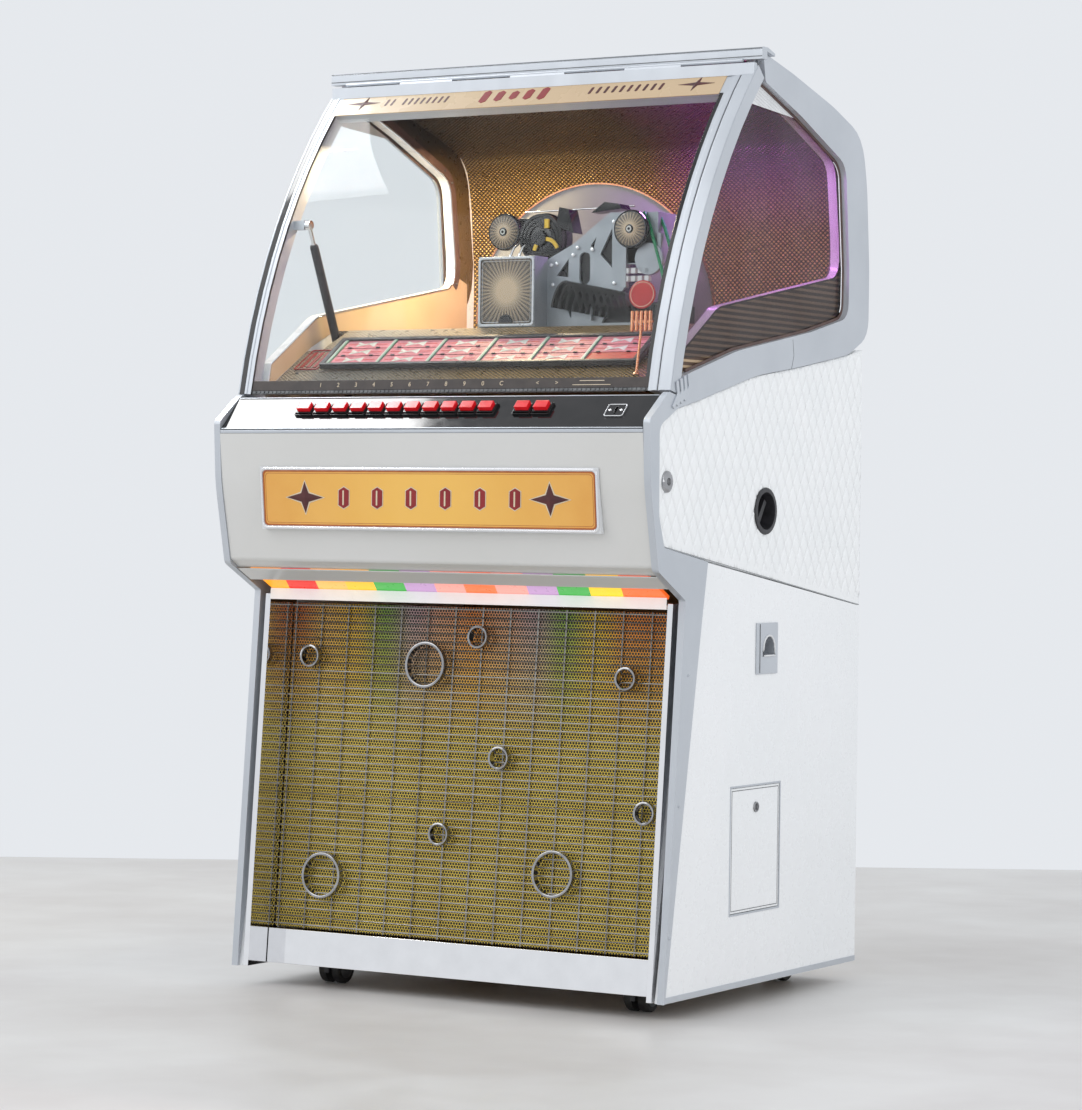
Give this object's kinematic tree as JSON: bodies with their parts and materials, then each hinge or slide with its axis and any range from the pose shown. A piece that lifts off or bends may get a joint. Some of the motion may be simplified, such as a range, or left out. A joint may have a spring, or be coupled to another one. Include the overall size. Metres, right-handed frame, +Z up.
{
  "type": "jukebox",
  "caption": "Floor-standing disc jukebox with a tilting curved glass lid, lit player display, red selection keys, gold grille with chrome rings and castors.",
  "frame": {"origin": "centre of the bounding box's lower face, on the floor between the castors", "axes": "+X to the cabinet's right side, -Y towards the front with the keys and the grille, +Z up"},
  "size_m": [0.825, 0.7492, 1.5245],
  "materials": {
    "satin_silver": "satin anodised",
    "white_gloss": "white lacquer on board",
    "white_quilted": "white quilted vinyl panel",
    "warm_white": "warm white gloss paint",
    "chrome": "polished",
    "black_plastic": "semi-gloss black",
    "red_plastic": "glossy red",
    "amber_acrylic": "printed acrylic",
    "rainbow_diffuser": "coloured light diffuser",
    "gold_mesh": "gold perforated sheet",
    "gold_dimpled": "dimpled bronze sheet",
    "clear_glass": "clear",
    "smoked_glass": "smoked",
    "card_pink": "printed title cards",
    "grey_metal": "grey coated sheet",
    "pale_grey": "pale grey",
    "disc_film": "dark gloss",
    "rubber": "black tread",
    "plywood": "bare board"
  },
  "bodies": {
    "cabinet": {"back_panel": "plywood", "backdrop": "pale_grey", "base_board": "plywood", "belly_panel": "warm_white", "canopy_shell": "gold_dimpled", "coin_return_plate": "satin_silver", "coin_slot_plate": "chrome", "control_panel": "black_plastic", "deck": "gold_dimpled", "grille_grid": "chrome", "grille_sheet": "gold_mesh", "grille_surround": "chrome", "grip_cup": "black_plastic", "kick_plate": "chrome", "left_quilted_panel": "white_quilted", "left_side_board": "white_gloss", "left_side_glass": "clear_glass", "left_trim_frame": "satin_silver", "light_strip": "rainbow_diffuser", "mechanism_frame": "grey_metal", "right_quilted_panel": "white_quilted", "right_side_board": "white_gloss", "right_side_glass": "smoked_glass", "right_trim_frame": "satin_silver", "sign_panel": "amber_acrylic", "title_rack": "card_pink", "top_rail": "satin_silver"},
    "lid": {"lid_frame": "satin_silver", "lid_glass": "clear_glass"},
    "strut_cylinder": {"strut_cylinder": "black_plastic"},
    "strut_rod": {"strut_rod": "chrome"},
    "cash_door": {"cash_door": "white_gloss"},
    "cash_lock": {"cash_lock": "chrome"},
    "lid_lock": {"lid_lock": "chrome"},
    "turn_knob": {"turn_knob": "black_plastic"},
    "disc_magazine": {"disc_magazine": "disc_film"},
    "platter": {"platter": "disc_film"},
    "left_roller": {"left_roller": "grey_metal"},
    "right_roller": {"right_roller": "grey_metal"},
    "key_1": {"key_1": "red_plastic"},
    "key_2": {"key_2": "red_plastic"},
    "key_3": {"key_3": "red_plastic"},
    "key_4": {"key_4": "red_plastic"},
    "key_5": {"key_5": "red_plastic"},
    "key_6": {"key_6": "red_plastic"},
    "key_7": {"key_7": "red_plastic"},
    "key_8": {"key_8": "red_plastic"},
    "key_9": {"key_9": "red_plastic"},
    "key_0": {"key_0": "red_plastic"},
    "key_clear": {"key_clear": "red_plastic"},
    "key_back": {"key_back": "red_plastic"},
    "key_next": {"key_next": "red_plastic"},
    "front_left_fork": {"front_left_castor_fork": "black_plastic"},
    "front_left_wheel": {"front_left_castor_wheel": "rubber"},
    "front_right_fork": {"front_right_castor_fork": "black_plastic"},
    "front_right_wheel": {"front_right_castor_wheel": "rubber"},
    "rear_left_fork": {"rear_left_castor_fork": "black_plastic"},
    "rear_left_wheel": {"rear_left_castor_wheel": "rubber"},
    "rear_right_fork": {"rear_right_castor_fork": "black_plastic"},
    "rear_right_wheel": {"rear_right_castor_wheel": "rubber"}
  },
  "joints": [
    {"name": "lid_hinge", "type": "hinge", "parent": "cabinet", "child": "lid", "pos_m": [0, -0.04025, 1.5035], "axis": [-1, 0, 0], "range_deg": [0, 45]},
    {"name": "strut_swing", "type": "hinge", "parent": "cabinet", "child": "strut_cylinder", "pos_m": [-0.3545, -0.06125, 0.984], "axis": [1, 0, 0], "range_deg": [0, 5.62]},
    {"name": "strut_slide", "type": "slide", "parent": "strut_cylinder", "child": "strut_rod", "axis": [0, -0.4125, 0.9109], "range_m": [0, 0.21682]},
    {"name": "cash_door_hinge", "type": "hinge", "parent": "cabinet", "child": "cash_door", "pos_m": [0.4015, -0.00835, 0.1522], "axis": [0, 1, 0], "range_deg": [0, 90]},
    {"name": "cash_lock_turn", "type": "hinge", "parent": "cash_door", "child": "cash_lock", "pos_m": [0.402, -0.00625, 0.317], "axis": [1, 0, 0], "range_deg": [0, 90]},
    {"name": "lid_lock_turn", "type": "hinge", "parent": "cabinet", "child": "lid_lock", "pos_m": [0.402, -0.31375, 0.831], "axis": [1, 0, 0], "range_deg": [0, 90]},
    {"name": "turn_knob_turn", "type": "hinge", "parent": "cabinet", "child": "turn_knob", "pos_m": [0.402, 0.01255, 0.789], "axis": [1, 0, 0], "range_deg": [0, 90]},
    {"name": "disc_magazine_spin", "type": "hinge", "parent": "cabinet", "child": "disc_magazine", "pos_m": [0.09, 0.04675, 1.1547], "axis": [1, 0, 0], "continuous": true},
    {"name": "platter_spin", "type": "hinge", "parent": "cabinet", "child": "platter", "pos_m": [-0.02, 0.01275, 1.2367], "axis": [0, -1, 0], "continuous": true},
    {"name": "left_roller_spin", "type": "hinge", "parent": "cabinet", "child": "left_roller", "pos_m": [-0.105, 0.03675, 1.2517], "axis": [0, -1, 0], "continuous": true},
    {"name": "right_roller_spin", "type": "hinge", "parent": "cabinet", "child": "right_roller", "pos_m": [0.178, -0.03375, 1.2427], "axis": [0, -1, 0], "continuous": true},
    {"name": "key_1_press", "type": "slide", "parent": "cabinet", "child": "key_1", "axis": [0, 0.7009, -0.7133], "range_m": [0, 0.003], "stiffness_N_per_m": 300, "springref_m": -0.001},
    {"name": "key_2_press", "type": "slide", "parent": "cabinet", "child": "key_2", "axis": [0, 0.7009, -0.7133], "range_m": [0, 0.003], "stiffness_N_per_m": 300, "springref_m": -0.001},
    {"name": "key_3_press", "type": "slide", "parent": "cabinet", "child": "key_3", "axis": [0, 0.7009, -0.7133], "range_m": [0, 0.003], "stiffness_N_per_m": 300, "springref_m": -0.001},
    {"name": "key_4_press", "type": "slide", "parent": "cabinet", "child": "key_4", "axis": [0, 0.7009, -0.7133], "range_m": [0, 0.003], "stiffness_N_per_m": 300, "springref_m": -0.001},
    {"name": "key_5_press", "type": "slide", "parent": "cabinet", "child": "key_5", "axis": [0, 0.7009, -0.7133], "range_m": [0, 0.003], "stiffness_N_per_m": 300, "springref_m": -0.001},
    {"name": "key_6_press", "type": "slide", "parent": "cabinet", "child": "key_6", "axis": [0, 0.7009, -0.7133], "range_m": [0, 0.003], "stiffness_N_per_m": 300, "springref_m": -0.001},
    {"name": "key_7_press", "type": "slide", "parent": "cabinet", "child": "key_7", "axis": [0, 0.7009, -0.7133], "range_m": [0, 0.003], "stiffness_N_per_m": 300, "springref_m": -0.001},
    {"name": "key_8_press", "type": "slide", "parent": "cabinet", "child": "key_8", "axis": [0, 0.7009, -0.7133], "range_m": [0, 0.003], "stiffness_N_per_m": 300, "springref_m": -0.001},
    {"name": "key_9_press", "type": "slide", "parent": "cabinet", "child": "key_9", "axis": [0, 0.7009, -0.7133], "range_m": [0, 0.003], "stiffness_N_per_m": 300, "springref_m": -0.001},
    {"name": "key_0_press", "type": "slide", "parent": "cabinet", "child": "key_0", "axis": [0, 0.7009, -0.7133], "range_m": [0, 0.003], "stiffness_N_per_m": 300, "springref_m": -0.001},
    {"name": "key_clear_press", "type": "slide", "parent": "cabinet", "child": "key_clear", "axis": [0, 0.7009, -0.7133], "range_m": [0, 0.003], "stiffness_N_per_m": 300, "springref_m": -0.001},
    {"name": "key_back_press", "type": "slide", "parent": "cabinet", "child": "key_back", "axis": [0, 0.7009, -0.7133], "range_m": [0, 0.003], "stiffness_N_per_m": 300, "springref_m": -0.001},
    {"name": "key_next_press", "type": "slide", "parent": "cabinet", "child": "key_next", "axis": [0, 0.7009, -0.7133], "range_m": [0, 0.003], "stiffness_N_per_m": 300, "springref_m": -0.001},
    {"name": "front_left_swivel", "type": "hinge", "parent": "cabinet", "child": "front_left_fork", "pos_m": [-0.29, -0.18325, 0.0637], "axis": [0, 0, 1], "continuous": true},
    {"name": "front_left_wheel_spin", "type": "hinge", "parent": "front_left_fork", "child": "front_left_wheel", "pos_m": [-0.29, -0.17125, 0.025], "axis": [1, 0, 0], "continuous": true},
    {"name": "front_right_swivel", "type": "hinge", "parent": "cabinet", "child": "front_right_fork", "pos_m": [0.29, -0.18325, 0.0637], "axis": [0, 0, 1], "continuous": true},
    {"name": "front_right_wheel_spin", "type": "hinge", "parent": "front_right_fork", "child": "front_right_wheel", "pos_m": [0.29, -0.17125, 0.025], "axis": [1, 0, 0], "continuous": true},
    {"name": "rear_left_swivel", "type": "hinge", "parent": "cabinet", "child": "rear_left_fork", "pos_m": [-0.29, 0.28175, 0.0637], "axis": [0, 0, 1], "continuous": true},
    {"name": "rear_left_wheel_spin", "type": "hinge", "parent": "rear_left_fork", "child": "rear_left_wheel", "pos_m": [-0.29, 0.29375, 0.025], "axis": [1, 0, 0], "continuous": true},
    {"name": "rear_right_swivel", "type": "hinge", "parent": "cabinet", "child": "rear_right_fork", "pos_m": [0.29, 0.28175, 0.0637], "axis": [0, 0, 1], "continuous": true},
    {"name": "rear_right_wheel_spin", "type": "hinge", "parent": "rear_right_fork", "child": "rear_right_wheel", "pos_m": [0.29, 0.29375, 0.025], "axis": [1, 0, 0], "continuous": true}
  ],
  "couplings": [
    {"joint": "strut_swing", "follows": "lid_hinge", "ratio": 0.12455},
    {"joint": "strut_slide", "follows": "lid_hinge", "m_per_rad": 0.27581}
  ]
}
